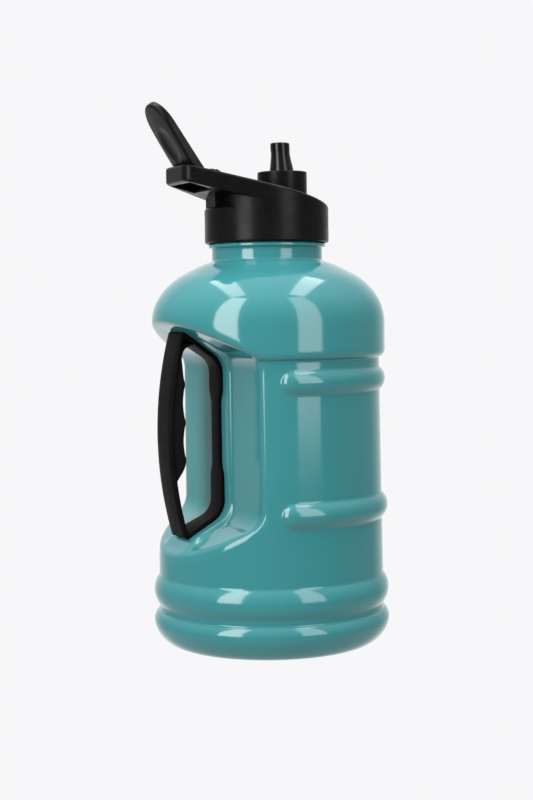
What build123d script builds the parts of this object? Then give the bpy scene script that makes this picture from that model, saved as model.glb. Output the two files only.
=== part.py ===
from build123d import *
from math import acos, atan, cos, radians, sin, sqrt
import os

# Large water jug with a recessed D-loop grip and a flip-cover screw cap.
# Millimetres, +Z up.  The origin is the centre of the ring that the jug stands on.
# The grip and the cap's loop are at -X, the drinking spout is towards +X.

# ---------------------------------------------------------------- driving dimensions
WALL = 1.5                 # bottle wall

# bottle, radii and heights of its outside
FOOT_R = 52.0              # where the flat foot turns up into the base bead
BASE_R = 65.0              # base bead, the widest part
BASE_Z = 14.0
BASE_TOP_Z = 19.2          # top of the base bead, where the groove's upright wall begins
GROOVE_R = 62.2            # groove between the two base beads
GROOVE_Z = 22.6
SECOND_R = 64.8            # second base bead
SECOND_Z = 30.0
PANEL_LOW_R = 61.9         # lower panel
PANEL_LOW_Z = 38.5
PANEL_TOP_R = 60.8         # top of the upper panel, under the bulge
PANEL_TOP_Z = 156.7
BULGE_R = 64.0             # bulge above the grip
BULGE_Z = 161.0
LEDGE_TANGENT = (1, 0.25)  # outline of the bulge's underside and of the base bead's top
SHOULDER_Z = 175.0         # where the bulge turns into the shoulder
SHOULDER_MID = (60.3, 189.6)
SHOULDER_HIGH = (46.5, 202.7)
SHOULDER_END = (33.4, 208.8)
SHOULDER_TANGENT = (-1, 0.36)    # and where the shoulder meets the neck
DIMPLE_R = 42.0            # pushed-up middle of the base
DIMPLE_H = 7.0
DIMPLE_FLAT_R = 8.0

# two body beads, which stop short of the grip recess
BEAD_HALF_ANGLE = 102.9    # each side of +X
BEADS = ((76.0, 64.7, 8.6), (145.3, 63.9, 7.9))    # height, outside radius, section radius

# neck
NECK_R = 30.2
NECK_BORE_R = 27.2
NECK_SINK = 4.0            # how deep the neck starts in the shoulder
FLARE_R = 32.8             # foot of the neck, and its height above the shoulder's end
FLARE_DROP = 1.2
FLARE_H = 2.4
COLLAR_R = 32.0            # support collar under the cap
COLLAR_Z = 216.9
COLLAR_TOP_Z = 218.9
COLLAR_UNDERCUT = 0.4      # slope of the collar's underside
COLLAR_FALL = 0.3          # and of its top
FINISH_R = 29.3            # threaded part of the neck
RIM_Z = 235.0
RIM_CHAMFER = 0.8

# thread, one start, right-hand
PITCH = 5.0
THREAD_TURNS = 1.5
THREAD_Z = 224.5
THREAD_HEIGHT = 1.2
THREAD_ROOT_HALF = 0.95
THREAD_TIP_HALF = 0.5
THREAD_ROOT_SINK = 0.4     # how deep the ridge's root lies in its wall
CAP_THREAD_DROP = 1.6      # the cap's ridge runs this far below the neck's
CAP_THREAD_HEIGHT = 1.4

# grip recess, the same section all across the jug
RECESS_X = -29.0           # its back wall
RECESS_Z0 = 72.2           # lower and upper ends of the back wall
RECESS_Z1 = 157.1
RECESS_SLOPE = 0.59        # fall of the floor and rise of the ceiling towards the outside
RECESS_CORNER_R = 12.0
RECESS_OUT_X = -75.0
RECESS_REACH = 60.0        # how far its cut runs sideways
LAND_HALF = 14.5           # raised land that the grip lies on
LAND_H = 1.5
LAND_FLOOR_SLOPE = 0.52    # the land's own floor and ceiling, which run out at the outside
LAND_CEILING_SLOPE = 0.69

# grip
GRIP_HALF = 9.9            # half width of the band at the outer bar
STRAP_HALF = 7.4           # and where it lies on the back wall
GRIP_BAND = 2.3            # thickness of the band
GRIP_END_X = -54.6         # ends of the outer bar
GRIP_MID_X = -62.5         # middle of the outer bar
GRIP_GAP = 0.1             # between the band and the land
BAR_CORNER_R = 1.4
PAD_HALF = 9.0
PAD_LOW_Z = 91.5
PAD_TAIL = 6.0             # length that the pad's lower end fades in
PAD_CREST_X = -53.3        # finger-groove crests
PAD_VALLEY_X = -55.2       # and valleys
PAD_STEP = 20.4            # from crest to crest
PAD_CREST_Z = 144.0        # the highest crest
PAD_CRESTS = 3

# cap
CAP_R = 33.9
CAP_BORE_R = 31.2
CAP_Z = 219.4
DECK_Z = 238.7             # rear deck under the loop
LEDGE_Z = 236.6            # face that presses on the gasket
CAVITY_R = 26.5            # hollow of the cap above the gasket
GASKET_R = 30.8
GASKET_BORE_R = 27.2
GASKET_GAP = 0.05
CAP_CHAMFER = 0.8
DECK_ROUND = 1.8
TOP_ROUND = 1.6
TOP_Z0 = 246.8             # tilted top: height on the axis
TOP_SLOPE = 0.259          # and its fall towards +X
TOP_PLATE = 2.6            # wall under the tilted top
ARM_H = 9.3                # height of the loop's rim
REAR_WALL_X = -27.6        # outside of the flat rear wall under the loop
LOOP_X = -54.0             # end of the loop
LOOP_HALF = 14.9
LOOP_CORNER_R = 6.5
LOOP_HOLE_X = -50.6        # hole in the loop, from its end wall
LOOP_HOLE_X1 = -37.0       # to the floor under the hinge
HOLE_CLEAR = 2.0           # how far above the deck its cut ends
POCKET_X1 = -26.9          # front end of the hinge pocket
POCKET_Z = 248.7           # floor under the hinge
POCKET_HALF = 13.9
POST_HALF = 5.0
POST_X = -32.6

# cover hinge
HINGE_X = -33.2
HINGE_Z = 254.0
PIN_R = 1.3
PIN_HALF = 18.5
PIN_CHAMFER = 0.3
PIN_RUNNING_GAP = 0.06
KNUCKLE_R = 4.6
OPEN_ANGLE = 124.5         # from closed, lying forwards, to open

# cover, drawn closed and then turned open; distances from the hinge
COVER_L = 51.2
COVER_ROOT = 7.0           # where the cover's plate begins, in front of the hinge
ROOT_R = 3.0               # round of its upper edge there
COVER_T = 5.6
COVER_HALF = 13.0
COVER_ROUND = 1.6
COVER_RIM = 1.8
COVER_HOLLOW = 3.0         # depth of the hollow in its underside
COVER_HOLLOW_START = 13.0
SEAL_R = 5.6
SEAL_H = 1.4

# spout
SPOUT_X = 9.8
TOWER_R = 13.6
TOWER_Z = 258.4
TOWER_ROUND = 0.6
SPIGOT_R = 10.5            # part of the tower inside the cap's top
SPIGOT_Z = 238.0
TOWER_BORE_R = 8.2
LIP_BORE_R = 6.9
LIP_Z = 254.2              # underside of the lip that holds the spout's flange
FLANGE_H = 2.4
RETAINER_H = 4.0
RETAINER_BORE_R = 4.2
SPOUT_BASE_R = 6.7
SPOUT_R = 5.3
SPOUT_BORE_R = 3.4
SPOUT_Z = 274.4
SPOUT_WAIST_R = 5.5
SPOUT_WAIST_Z = 265.0
SPOUT_FOOT_H = 0.4         # upright foot above the tower
SPOUT_CHAMFER = 0.6

# vent valve
VENT_X = -11.2
VENT_HEAD_R = 4.0
VENT_STEM_R = 2.0
VENT_HEAD_H = 0.5
VENT_FOOT_R = 3.1
VENT_FOOT_H = 2.4
VENT_FOOT_TAPER = 25
VENT_DROP = 3.4            # length of its stem below the top's surface

FAR = 60.0                 # past every side of the cap, for cutting sections
LOOP_TALL = 46.0           # past the top of the cap, from its bottom edge
LAP = 1.0                  # how far neighbouring solids and cuts run into one another


def top_z(x):
    """Height of the cap's tilted top at x."""
    return TOP_Z0 - TOP_SLOPE * x


def recess_points(out, floor=RECESS_SLOPE, ceiling=RECESS_SLOPE, end=RECESS_OUT_X):
    """Corners of the grip recess's section, its walls moved out of the bottle by out."""
    back = RECESS_X - out
    lift = out * (sqrt(1 + RECESS_SLOPE ** 2) - RECESS_SLOPE)
    return (
        (back, RECESS_Z0 + lift),
        (back, RECESS_Z1 - lift),
        (end, RECESS_Z1 - lift + ceiling * (back - end)),
        (end, RECESS_Z0 + lift - floor * (back - end)),
    )


def land_points(out, end=RECESS_OUT_X):
    """The same for the raised land in the middle of the recess."""
    return recess_points(out, LAND_FLOOR_SLOPE, LAND_CEILING_SLOPE, end)


def jug_volume(skin):
    """The bottle's outside, moved inwards by skin."""
    with BuildPart() as volume:
        with BuildSketch(Plane.XZ):
            with BuildLine():
                foot = (FOOT_R - skin, skin)
                base = (BASE_R - skin, BASE_Z)
                base_top = (GROOVE_R - skin, BASE_TOP_Z - skin)
                groove = (GROOVE_R - skin, GROOVE_Z)
                second = (SECOND_R - skin, SECOND_Z)
                panel = (PANEL_LOW_R - skin, PANEL_LOW_Z)
                high = (PANEL_TOP_R - skin, PANEL_TOP_Z + skin)
                bulge = (BULGE_R - skin, BULGE_Z + skin)
                shoulder = (BULGE_R - skin, SHOULDER_Z)
                end = (SHOULDER_END[0], SHOULDER_END[1] - skin)
                dimple = (DIMPLE_FLAT_R, DIMPLE_H + skin)
                Line((0, DIMPLE_H + skin), dimple)
                Spline(dimple, (DIMPLE_R, skin), tangents=((1, 0), (1, 0)))
                Line((DIMPLE_R, skin), foot)
                Spline(foot, base, tangents=((1, 0), (0, 1)))
                Spline(base, base_top, tangents=((0, 1), (-LEDGE_TANGENT[0], LEDGE_TANGENT[1])))
                Line(base_top, groove)
                ThreePointArc(groove, second, panel)
                Line(panel, high)
                Spline(high, bulge, tangents=(LEDGE_TANGENT, (0, 1)))
                Line(bulge, shoulder)
                Spline(
                    shoulder,
                    (SHOULDER_MID[0] - skin, SHOULDER_MID[1] - skin / 2),
                    (SHOULDER_HIGH[0] - skin / 2, SHOULDER_HIGH[1] - skin),
                    end,
                    tangents=((0, 1), SHOULDER_TANGENT),
                )
                Polyline(end, (0, end[1]), (0, DIMPLE_H + skin))
            make_face()
        revolve(axis=Axis.Z)
        for height, outside_r, section_r in BEADS:
            centre_r = outside_r - section_r
            start = radians(-BEAD_HALF_ANGLE)
            start_plane = Plane(
                origin=(0, 0, height),
                x_dir=(cos(start), sin(start), 0),
                z_dir=(sin(start), -cos(start), 0),
            )
            with BuildSketch(start_plane):
                with Locations((centre_r, 0)):
                    Circle(section_r - skin)
            revolve(axis=Axis.Z, revolution_arc=2 * BEAD_HALF_ANGLE)
            ends = {"start_angle": -BEAD_HALF_ANGLE, "angular_range": 4 * BEAD_HALF_ANGLE}
            with PolarLocations(centre_r, 2, **ends):
                with Locations((0, 0, height)):
                    Sphere(section_r - skin)
        land_edge = LAND_HALF - skin
        cuts = (
            (Plane.XZ, land_points(LAND_H - skin), land_edge, True),
            (Plane.XZ.offset(land_edge), recess_points(-skin), RECESS_REACH, False),
            (Plane.XZ.offset(-land_edge), recess_points(-skin), -RECESS_REACH, False),
        )
        for plane, corners, depth, both in cuts:
            with BuildSketch(plane) as recess:
                with BuildLine():
                    Polyline(*corners, close=True)
                make_face()
                fillet(recess.vertices().sort_by(Axis.X)[-2:], radius=RECESS_CORNER_R)
            extrude(amount=depth, both=both, mode=Mode.SUBTRACT)
    return volume.part


# ---------------------------------------------------------------- bottle
outside = jug_volume(0)
inside = jug_volume(WALL)

with BuildPart() as neck_ridge:
    with BuildLine() as neck_helix:
        Helix(PITCH, PITCH * THREAD_TURNS, FINISH_R, center=(0, 0, THREAD_Z))
    start = Plane(neck_helix.line @ 0, x_dir=(1, 0, 0), z_dir=neck_helix.line % 0)
    with BuildSketch(start):
        with BuildLine():
            Polyline(
                (-THREAD_ROOT_SINK, -THREAD_ROOT_HALF),
                (THREAD_HEIGHT, -THREAD_TIP_HALF),
                (THREAD_HEIGHT, THREAD_TIP_HALF),
                (-THREAD_ROOT_SINK, THREAD_ROOT_HALF),
                close=True,
            )
        make_face()
    sweep(path=neck_helix.line, is_frenet=True)

with BuildPart() as jug_body:
    add(outside)
    with BuildSketch(Plane.XZ):
        with BuildLine():
            Polyline(
                (0, SHOULDER_END[1] - NECK_SINK),
                (FLARE_R, SHOULDER_END[1] - FLARE_DROP),
                (NECK_R, SHOULDER_END[1] + FLARE_H),
                (NECK_R, COLLAR_Z),
                (COLLAR_R, COLLAR_Z + COLLAR_UNDERCUT),
                (COLLAR_R, COLLAR_TOP_Z),
                (FINISH_R, COLLAR_TOP_Z + COLLAR_FALL),
                (FINISH_R, RIM_Z - RIM_CHAMFER),
                (FINISH_R - RIM_CHAMFER, RIM_Z),
                (0, RIM_Z),
                close=True,
            )
        make_face()
    revolve(axis=Axis.Z)
    add(neck_ridge.part)
    add(inside, mode=Mode.SUBTRACT)
    with BuildSketch(Plane.XY.offset(SHOULDER_HIGH[1])):
        Circle(NECK_BORE_R)
    extrude(amount=RIM_Z - SHOULDER_HIGH[1], mode=Mode.SUBTRACT)
jug_body.part.label = "jug_body"

# ---------------------------------------------------------------- grip
band_out = LAND_H + GRIP_GAP
strap_low, strap_high, bar_high, bar_low = land_points(band_out, GRIP_END_X)
bar_mid = (GRIP_MID_X, (bar_low[1] + bar_high[1]) / 2)


def band_outline(inward):
    """Side view of the grip's closed band, moved inwards."""
    with BuildSketch(Plane.XZ) as band:
        with BuildLine():
            Polyline(bar_low, strap_low, strap_high, bar_high)
            ThreePointArc(bar_high, bar_mid, bar_low)
        make_face()
        fillet(band.vertices().sort_by(Axis.X)[-2:], radius=RECESS_CORNER_R + band_out)
        fillet(band.vertices().sort_by(Axis.X)[:2], radius=BAR_CORNER_R)
        if inward:
            offset(amount=-inward, mode=Mode.REPLACE)
    return band.sketch


with BuildPart() as grip_frame:
    extrude(band_outline(0), amount=GRIP_HALF, both=True)
    extrude(band_outline(GRIP_BAND), amount=GRIP_HALF, both=True, mode=Mode.SUBTRACT)
    # the legs taper from the bar to the strap
    with BuildSketch(Plane.XY):
        with BuildLine():
            Polyline(
                (RECESS_OUT_X, GRIP_HALF),
                (GRIP_END_X, GRIP_HALF),
                (strap_low[0] - GRIP_BAND, STRAP_HALF),
                (0, STRAP_HALF),
                (0, -STRAP_HALF),
                (strap_low[0] - GRIP_BAND, -STRAP_HALF),
                (GRIP_END_X, -GRIP_HALF),
                (RECESS_OUT_X, -GRIP_HALF),
                close=True,
            )
        make_face()
    extrude(amount=bar_high[1] + FAR, mode=Mode.INTERSECT)
grip_frame.part.label = "grip_frame"

# the pad fills the bar's inside as far as a waved line of finger grooves
wave = [(GRIP_MID_X, PAD_LOW_Z - PAD_TAIL), (GRIP_MID_X + GRIP_BAND, PAD_LOW_Z)]
for step in range(PAD_CRESTS):
    crest_z = PAD_CREST_Z - (PAD_CRESTS - 1 - step) * PAD_STEP
    wave.append((PAD_CREST_X, crest_z))
    wave.append((PAD_VALLEY_X, crest_z + PAD_STEP / 2))
wave.append((PAD_CREST_X, bar_high[1]))

with BuildPart() as grip_pad:
    extrude(band_outline(GRIP_BAND), amount=PAD_HALF, both=True)
    with BuildSketch(Plane.XZ):
        with BuildLine():
            Spline(*wave)
            Polyline(wave[-1], (RECESS_OUT_X, bar_high[1]), (RECESS_OUT_X, wave[0][1]), wave[0])
        make_face()
    extrude(amount=PAD_HALF, both=True, mode=Mode.INTERSECT)
grip_pad.part.label = "grip_pad"

# ---------------------------------------------------------------- cap
with BuildPart() as cap_ridge:
    with BuildLine() as cap_helix:
        Helix(PITCH, PITCH * THREAD_TURNS, CAP_BORE_R, center=(0, 0, THREAD_Z - CAP_THREAD_DROP))
    start = Plane(cap_helix.line @ 0, x_dir=(1, 0, 0), z_dir=cap_helix.line % 0)
    with BuildSketch(start):
        with BuildLine():
            Polyline(
                (THREAD_ROOT_SINK, -THREAD_ROOT_HALF),
                (-CAP_THREAD_HEIGHT, -THREAD_TIP_HALF),
                (-CAP_THREAD_HEIGHT, THREAD_TIP_HALF),
                (THREAD_ROOT_SINK, THREAD_ROOT_HALF),
                close=True,
            )
        make_face()
    sweep(path=cap_helix.line, is_frenet=True)

# plan of the loop: lines from its end that touch the cap's circle
reach = sqrt(LOOP_X ** 2 + LOOP_HALF ** 2)
touch = radians(180) - atan(LOOP_HALF / -LOOP_X) - acos(CAP_R / reach)
touch_x = CAP_R * cos(touch)
touch_y = CAP_R * sin(touch)

with BuildPart() as loop_slab:
    with BuildSketch(Plane.XY.offset(CAP_Z)) as arms:
        with BuildLine():
            Polyline(
                (LOOP_X, -LOOP_HALF),
                (touch_x, -touch_y),
                (0, 0),
                (touch_x, touch_y),
                (LOOP_X, LOOP_HALF),
                close=True,
            )
        make_face()
        fillet(arms.vertices().sort_by(Axis.X)[:2], radius=LOOP_CORNER_R)
        Circle(CAP_R)
    extrude(amount=LOOP_TALL)
    with BuildSketch(Plane.XZ):
        with BuildLine():
            Polyline(
                (-FAR, top_z(-FAR)),
                (FAR, top_z(FAR)),
                (FAR, top_z(FAR) - ARM_H),
                (-FAR, top_z(-FAR) - ARM_H),
                close=True,
            )
        make_face()
    extrude(amount=FAR, both=True, mode=Mode.INTERSECT)
    fillet(loop_slab.faces().filter_by(GeomType.PLANE).sort_by(Axis.Z)[-1].edges(), radius=TOP_ROUND)

with BuildPart() as hollow:
    with BuildSketch(Plane.XY.offset(LEDGE_Z - LAP)):
        Circle(CAVITY_R)
    extrude(amount=LOOP_TALL)
    with BuildSketch(Plane.XZ):
        with BuildLine():
            Polyline(
                (CAVITY_R + LAP, LEDGE_Z - LAP),
                (CAVITY_R + LAP, top_z(CAVITY_R + LAP) - TOP_PLATE),
                (REAR_WALL_X + TOP_PLATE, top_z(REAR_WALL_X) - TOP_PLATE),
                (REAR_WALL_X + TOP_PLATE, LEDGE_Z - LAP),
                close=True,
            )
        make_face()
    extrude(amount=FAR, both=True, mode=Mode.INTERSECT)

with BuildPart() as cap_shell:
    with BuildSketch(Plane.XY.offset(CAP_Z)):
        Circle(CAP_R)
    extrude(amount=LOOP_TALL)
    with BuildSketch(Plane.XZ):
        with BuildLine():
            Polyline(
                (FAR, CAP_Z),
                (FAR, top_z(FAR) - ARM_H / 2),
                (REAR_WALL_X, top_z(REAR_WALL_X) - ARM_H / 2),
                (REAR_WALL_X, DECK_Z),
                (-FAR, DECK_Z),
                (-FAR, CAP_Z),
                close=True,
            )
        make_face()
    extrude(amount=FAR, both=True, mode=Mode.INTERSECT)
    chamfer(cap_shell.edges().group_by(Axis.Z)[0], length=CAP_CHAMFER)
    deck_edge = cap_shell.faces().filter_by(Plane.XY).sort_by(Axis.Z)[-1].edges()
    fillet(deck_edge.filter_by(GeomType.CIRCLE), radius=DECK_ROUND)
    add(loop_slab.part)
    # post under the hinge
    with BuildSketch(Plane.XY.offset(DECK_Z - LAP)):
        with Locations((POST_X, 0)):
            Rectangle(REAR_WALL_X + LAP - POST_X, 2 * POST_HALF, align=(Align.MIN, Align.CENTER))
    extrude(amount=top_z(POST_X) - ARM_H - DECK_Z + 2 * LAP)
    # the socket that the neck screws into, and the hollow above it
    with BuildSketch(Plane.XY.offset(CAP_Z)):
        Circle(CAP_BORE_R)
    extrude(amount=LEDGE_Z - CAP_Z, mode=Mode.SUBTRACT)
    add(cap_ridge.part)
    add(hollow.part, mode=Mode.SUBTRACT)
    # hole of the loop, and the pocket that the cover's knuckle turns in
    with BuildSketch(Plane.XY.offset(CAP_Z + LOOP_TALL)):
        with Locations((LOOP_HOLE_X, 0)):
            Rectangle(LOOP_HOLE_X1 - LOOP_HOLE_X, 2 * POCKET_HALF, align=(Align.MIN, Align.CENTER))
    extrude(amount=DECK_Z + HOLE_CLEAR - CAP_Z - LOOP_TALL, mode=Mode.SUBTRACT)
    with BuildSketch(Plane.XY.offset(POCKET_Z)):
        with Locations((LOOP_HOLE_X, 0)):
            Rectangle(POCKET_X1 - LOOP_HOLE_X, 2 * POCKET_HALF, align=(Align.MIN, Align.CENTER))
    extrude(amount=LOOP_TALL, mode=Mode.SUBTRACT)
    with BuildSketch(Plane.XZ):
        with Locations((HINGE_X, HINGE_Z)):
            Circle(PIN_R)
    extrude(amount=PIN_HALF, both=True, mode=Mode.SUBTRACT)
    # seats of the spout's tower and of the vent valve
    with BuildSketch(Plane.XY.offset(LEDGE_Z)):
        with Locations((SPOUT_X, 0)):
            Circle(SPIGOT_R)
        with Locations((VENT_X, 0)):
            Circle(VENT_STEM_R)
    extrude(amount=LOOP_TALL, mode=Mode.SUBTRACT)
cap_shell.part.label = "cap_shell"

with BuildPart() as hinge_pin:
    with BuildSketch(Plane.XZ):
        with Locations((HINGE_X, HINGE_Z)):
            Circle(PIN_R)
    extrude(amount=PIN_HALF, both=True)
    chamfer(hinge_pin.edges(), length=PIN_CHAMFER)
hinge_pin.part.label = "hinge_pin"

with BuildPart() as cap_gasket:
    with BuildSketch(Plane.XY.offset(RIM_Z)):
        Circle(GASKET_R)
        Circle(GASKET_BORE_R, mode=Mode.SUBTRACT)
    extrude(amount=LEDGE_Z - RIM_Z - GASKET_GAP)
cap_gasket.part.label = "cap_gasket"

# ---------------------------------------------------------------- spout
with BuildPart() as spout_collar:
    with BuildSketch(Plane.XY.offset(SPIGOT_Z)):
        with Locations((SPOUT_X, 0)):
            Circle(TOWER_R)
    extrude(amount=TOWER_Z - SPIGOT_Z)
    with BuildSketch(Plane.XZ):
        with BuildLine():
            Polyline(
                (FAR, top_z(FAR)),
                (FAR, FAR + TOWER_Z),
                (-FAR, FAR + TOWER_Z),
                (-FAR, top_z(-FAR)),
                close=True,
            )
        make_face()
    extrude(amount=FAR, both=True, mode=Mode.INTERSECT)
    fillet(spout_collar.edges().sort_by(Axis.Z)[-1:], radius=TOWER_ROUND)
    with BuildSketch(Plane.XY.offset(SPIGOT_Z)):
        with Locations((SPOUT_X, 0)):
            Circle(SPIGOT_R)
    extrude(amount=LIP_Z - SPIGOT_Z)
    with BuildSketch(Plane.XY.offset(SPIGOT_Z)):
        with Locations((SPOUT_X, 0)):
            Circle(TOWER_BORE_R)
    extrude(amount=LIP_Z - SPIGOT_Z, mode=Mode.SUBTRACT)
    with BuildSketch(Plane.XY.offset(SPIGOT_Z)):
        with Locations((SPOUT_X, 0)):
            Circle(LIP_BORE_R)
    extrude(amount=TOWER_Z - SPIGOT_Z, mode=Mode.SUBTRACT)
spout_collar.part.label = "spout_collar"

spout_axis = Axis((SPOUT_X, 0, 0), (0, 0, 1))
with BuildPart() as drinking_spout:
    with BuildSketch(Plane.XZ):
        with BuildLine():
            Polyline(
                (SPOUT_X + SPOUT_BORE_R, LIP_Z - FLANGE_H),
                (SPOUT_X + TOWER_BORE_R, LIP_Z - FLANGE_H),
                (SPOUT_X + TOWER_BORE_R, LIP_Z),
                (SPOUT_X + SPOUT_BASE_R, LIP_Z),
                (SPOUT_X + SPOUT_BASE_R, TOWER_Z + SPOUT_FOOT_H),
            )
            Spline(
                (SPOUT_X + SPOUT_BASE_R, TOWER_Z + SPOUT_FOOT_H),
                (SPOUT_X + SPOUT_WAIST_R, SPOUT_WAIST_Z),
                (SPOUT_X + SPOUT_R, SPOUT_Z - SPOUT_CHAMFER),
                tangents=((0, 1), (0, 1)),
            )
            Polyline(
                (SPOUT_X + SPOUT_R, SPOUT_Z - SPOUT_CHAMFER),
                (SPOUT_X + SPOUT_R - SPOUT_CHAMFER, SPOUT_Z),
                (SPOUT_X + SPOUT_BORE_R, SPOUT_Z),
                (SPOUT_X + SPOUT_BORE_R, LIP_Z - FLANGE_H),
            )
        make_face()
    revolve(axis=spout_axis)
drinking_spout.part.label = "drinking_spout"

with BuildPart() as spout_retainer:
    with BuildSketch(Plane.XY.offset(LIP_Z - FLANGE_H - RETAINER_H)):
        with Locations((SPOUT_X, 0)):
            Circle(TOWER_BORE_R)
            Circle(RETAINER_BORE_R, mode=Mode.SUBTRACT)
    extrude(amount=RETAINER_H)
spout_retainer.part.label = "spout_retainer"

with BuildPart() as vent_valve:
    with BuildSketch(Plane.XY.offset(top_z(VENT_X) - VENT_DROP)):
        with Locations((VENT_X, 0)):
            Circle(VENT_STEM_R)
    extrude(amount=VENT_DROP)
    with BuildSketch(Plane(origin=(VENT_X, 0, top_z(VENT_X)), z_dir=(TOP_SLOPE, 0, 1))):
        Circle(VENT_HEAD_R)
    extrude(amount=VENT_HEAD_H)
    with BuildSketch(Plane.XY.offset(top_z(VENT_X) - VENT_DROP)):
        with Locations((VENT_X, 0)):
            Circle(VENT_FOOT_R)
    extrude(amount=-VENT_FOOT_H, taper=VENT_FOOT_TAPER)
vent_valve.part.label = "vent_valve"

# ---------------------------------------------------------------- cover
# Drawn closed, with the hinge's axis at the sketch's origin, then turned open.
hinge_plane = Plane(origin=(HINGE_X, 0, HINGE_Z), x_dir=(1, 0, 0), z_dir=(0, -1, 0))
with BuildPart() as cover_closed:
    with BuildSketch(hinge_plane):
        with BuildLine():
            Polyline(
                (COVER_ROOT, KNUCKLE_R),
                (COVER_L, KNUCKLE_R),
                (COVER_L, KNUCKLE_R + COVER_T),
                (COVER_ROOT, KNUCKLE_R + COVER_T),
                close=True,
            )
        make_face()
    extrude(amount=COVER_HALF, both=True)
    with BuildSketch(Plane.XY.offset(HINGE_Z)) as cover_plan:
        with BuildLine():
            tip = HINGE_X + COVER_L
            Polyline(
                (tip - COVER_HALF, COVER_HALF),
                (HINGE_X, COVER_HALF),
                (HINGE_X, -COVER_HALF),
                (tip - COVER_HALF, -COVER_HALF),
            )
            CenterArc((tip - COVER_HALF, 0), COVER_HALF, -90, 180)
        make_face()
    extrude(amount=FAR, mode=Mode.INTERSECT)
    fillet(cover_closed.faces().sort_by(Axis.Z)[-1].edges().sort_by(Axis.X)[1:], radius=COVER_ROUND)
    with BuildSketch(Plane.XY.offset(HINGE_Z + KNUCKLE_R)):
        with Locations((HINGE_X + COVER_L - COVER_HALF, 0)):
            Circle(COVER_HALF - COVER_RIM)
        with Locations((HINGE_X + COVER_HOLLOW_START, 0)):
            Rectangle(
                COVER_L - COVER_HALF - COVER_HOLLOW_START,
                2 * (COVER_HALF - COVER_RIM),
                align=(Align.MIN, Align.CENTER),
            )
    extrude(amount=COVER_HOLLOW, mode=Mode.SUBTRACT)
    with BuildSketch(hinge_plane):
        Circle(KNUCKLE_R)
        with Locations((COVER_ROOT, KNUCKLE_R + COVER_T - ROOT_R)):
            Circle(ROOT_R)
        make_hull()
    extrude(amount=COVER_HALF, both=True)
    with BuildSketch(hinge_plane):
        Circle(PIN_R + PIN_RUNNING_GAP)
    extrude(amount=COVER_HALF, both=True, mode=Mode.SUBTRACT)

with BuildPart() as seal_closed:
    with BuildSketch(Plane.XY.offset(HINGE_Z + KNUCKLE_R + COVER_HOLLOW - SEAL_H)):
        with Locations((SPOUT_X, 0)):
            Circle(SEAL_R)
    extrude(amount=SEAL_H)

hinge_axis = Axis((HINGE_X, 0, HINGE_Z), (0, 1, 0))
with BuildPart() as flip_cover:
    add(cover_closed.part.rotate(hinge_axis, -OPEN_ANGLE))
flip_cover.part.label = "flip_cover"

with BuildPart() as cover_seal:
    add(seal_closed.part.rotate(hinge_axis, -OPEN_ANGLE))
cover_seal.part.label = "cover_seal"

# ---------------------------------------------------------------- files
os.makedirs("parts", exist_ok=True)
pieces = (
    jug_body, grip_frame, grip_pad,
    cap_shell, hinge_pin, cap_gasket,
    spout_collar, drinking_spout, spout_retainer, vent_valve,
    flip_cover, cover_seal,
)
for piece in pieces:
    export_step(piece.part, f"parts/{piece.part.label}.step")
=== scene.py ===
import math

import bmesh
import bpy
from mathutils import Matrix, Vector


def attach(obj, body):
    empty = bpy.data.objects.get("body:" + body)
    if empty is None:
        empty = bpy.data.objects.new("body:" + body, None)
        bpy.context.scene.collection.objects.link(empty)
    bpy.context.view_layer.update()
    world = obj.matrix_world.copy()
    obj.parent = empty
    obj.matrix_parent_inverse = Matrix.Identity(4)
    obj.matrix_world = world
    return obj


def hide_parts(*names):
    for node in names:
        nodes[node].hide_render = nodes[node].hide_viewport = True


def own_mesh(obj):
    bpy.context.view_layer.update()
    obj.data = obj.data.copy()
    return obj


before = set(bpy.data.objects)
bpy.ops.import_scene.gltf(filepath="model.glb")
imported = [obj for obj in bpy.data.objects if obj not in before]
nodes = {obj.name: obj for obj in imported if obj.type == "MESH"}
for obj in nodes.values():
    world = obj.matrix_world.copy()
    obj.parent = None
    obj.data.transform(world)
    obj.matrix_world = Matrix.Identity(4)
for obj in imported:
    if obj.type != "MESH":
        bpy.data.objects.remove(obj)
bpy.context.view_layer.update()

# The shapes are worked out in millimetres, and their meshes are made in metres.
MM = 0.001

# ---------------------------------------------------------------- bottle
WALL = 1.5
FOOT_R = 52.0
BASE_R, BASE_Z = 65.0, 14.0            # base bead
BASE_TOP_Z = 19.2                      # where the groove's upright wall begins
GROOVE_R, GROOVE_Z = 62.2, 22.6
SECOND_R, SECOND_Z = 64.8, 30.0        # bead above the groove
PANEL_LOW_R, PANEL_LOW_Z = 61.9, 38.5
PANEL_TOP_R, PANEL_TOP_Z = 60.8, 156.7
BULGE_R, BULGE_Z = 64.0, 161.0
SHOULDER_Z = 175.0
SHOULDER = ((60.3, 189.6), (46.5, 202.7), (33.4, 208.8))
DIMPLE_R, DIMPLE_H, DIMPLE_FLAT_R = 42.0, 7.0, 8       # pushed-up middle of the base
DIMPLE_PULL = (34, 0)                  # tangent of its S-shaped side
AXIS_R = 0.01                          # the smallest ring, which a flat face closes
BEAD_END = math.radians(102.9)         # each side of +X
BEADS = ((76.0, 64.7, 8.6), (145.3, 63.9, 7.9))    # height, outside radius, section radius
BEAD_BLEND = 0.7
BEAD_FAR = -30               # section squared less distance squared; below this, no bead

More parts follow.
